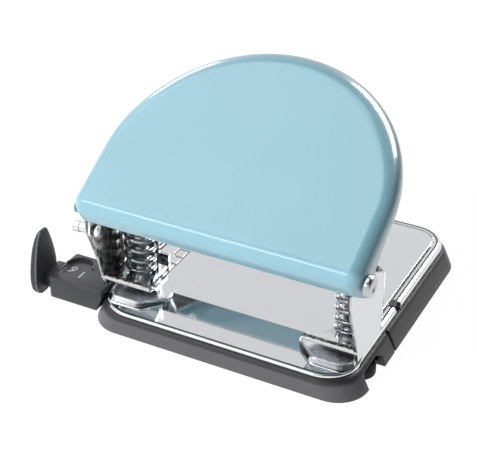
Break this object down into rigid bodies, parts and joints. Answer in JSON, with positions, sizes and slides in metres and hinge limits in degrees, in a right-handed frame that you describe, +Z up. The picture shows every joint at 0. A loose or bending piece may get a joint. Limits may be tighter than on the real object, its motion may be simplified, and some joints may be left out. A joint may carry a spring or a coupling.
{
  "type": "two-hole paper punch",
  "caption": "Desk hole punch: domed sheet-steel lever on two pivots, sprung punches over a drawn steel base, clip-on chip tray and sliding paper guide.",
  "frame": {"origin": "centre of the underside of the chip tray, midway between the two punches", "axes": "+X to the right as the paper is fed in, +Y away from the paper side towards the lever's free end, +Z up"},
  "size_m": [0.1303, 0.1039, 0.0878],
  "materials": {
    "blue_paint": "pale blue gloss paint on pressed steel",
    "chrome": "bright chrome plate",
    "tool_steel": "turned and ground steel",
    "spring_steel": "bright drawn wire and strip",
    "black_plastic": "black moulded plastic, fine satin grain",
    "rubber": "dull dark grey rubber"
  },
  "bodies": {
    "tray": {"tray_shell": "black_plastic", "rubber_feet": "rubber", "guide_housing": "black_plastic", "guide_detent": "spring_steel"},
    "guide": {"guide_rail": "black_plastic", "guide_fin": "black_plastic"},
    "base": {"base_plate": "chrome", "die_left": "tool_steel", "die_right": "tool_steel", "bracket_left": "chrome", "bracket_right": "chrome", "bracket_rivets": "chrome", "guide_bush_left": "tool_steel", "guide_bush_right": "tool_steel", "spring_left": "spring_steel", "spring_right": "spring_steel", "pivot_rivet_left": "chrome", "pivot_rivet_right": "chrome", "pivot_spacer_left": "chrome", "pivot_spacer_right": "chrome", "stop_stud": "chrome"},
    "lever": {"handle_shell": "blue_paint", "press_bar": "tool_steel", "bar_hanger_left": "tool_steel", "bar_hanger_right": "tool_steel"},
    "punch_unit_left": {"punch_left": "tool_steel", "punch_cap_left": "chrome", "spring_washer_left": "chrome"},
    "punch_unit_right": {"punch_right": "tool_steel", "punch_cap_right": "chrome", "spring_washer_right": "chrome"}
  },
  "joints": [
    {"name": "tray_open", "type": "hinge", "parent": "tray", "child": "base", "pos_m": [0, 0.0496, 0.0079], "axis": [1, 0, 0], "range_deg": [-60, 0]},
    {"name": "guide_slide", "type": "slide", "parent": "tray", "child": "guide", "axis": [-1, 0, 0], "range_m": [0, 0.0745]},
    {"name": "lever_press", "type": "hinge", "parent": "base", "child": "lever", "pos_m": [0, -0.0483, 0.047], "axis": [1, 0, 0], "range_deg": [-28, 0], "stiffness_Nm_per_rad": 1, "springref_deg": 20.05},
    {"name": "punch_slide_left", "type": "slide", "parent": "base", "child": "punch_unit_left", "axis": [0, 0, -1], "range_m": [0, 0.0088], "deforming": ["spring_left"]},
    {"name": "punch_slide_right", "type": "slide", "parent": "base", "child": "punch_unit_right", "axis": [0, 0, -1], "range_m": [0, 0.0088], "deforming": ["spring_right"]}
  ],
  "couplings": [
    {"joint": "punch_slide_left", "follows": "lever_press", "m_per_rad": -0.01786},
    {"joint": "punch_slide_right", "follows": "lever_press", "m_per_rad": -0.01786}
  ]
}
